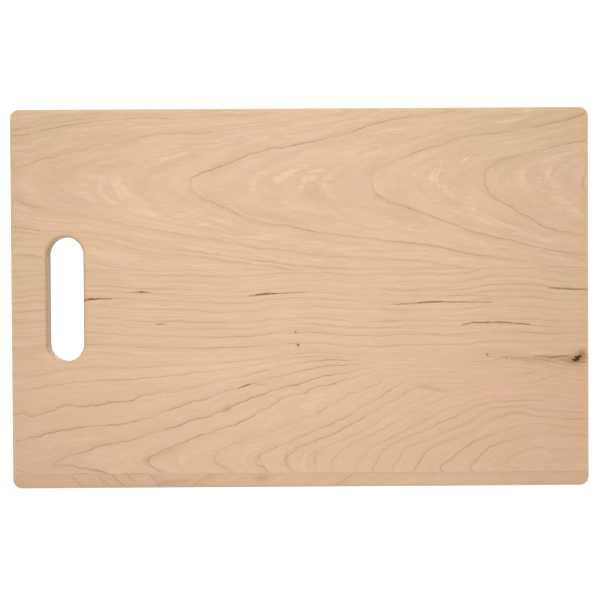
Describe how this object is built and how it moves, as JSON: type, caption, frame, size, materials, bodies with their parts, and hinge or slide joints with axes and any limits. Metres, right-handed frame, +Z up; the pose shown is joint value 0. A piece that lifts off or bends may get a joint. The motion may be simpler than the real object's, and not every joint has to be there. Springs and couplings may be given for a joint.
{
  "type": "cutting board",
  "caption": "Flat edge-glued wooden cutting board with rounded corners, eased edges and an oblong hand slot through one end.",
  "frame": {"origin": "centre of the underside, on the surface that the board lies on", "axes": "+Z up out of the work top, +X along the long side away from the hand slot, +Y to the back edge, away from the narrow front stave"},
  "size_m": [0.4064, 0.2666, 0.0191],
  "materials": {
    "stave_back": "oiled",
    "stave_middle": "oiled",
    "stave_front": "oiled",
    "glue": "satin"
  },
  "bodies": {
    "root": {"stave_back": "stave_back", "stave_middle": "stave_middle", "stave_front": "stave_front", "glue_line_back_handle": "glue", "glue_line_back_main": "glue", "glue_line_front": "glue"}
  },
  "joints": []
}
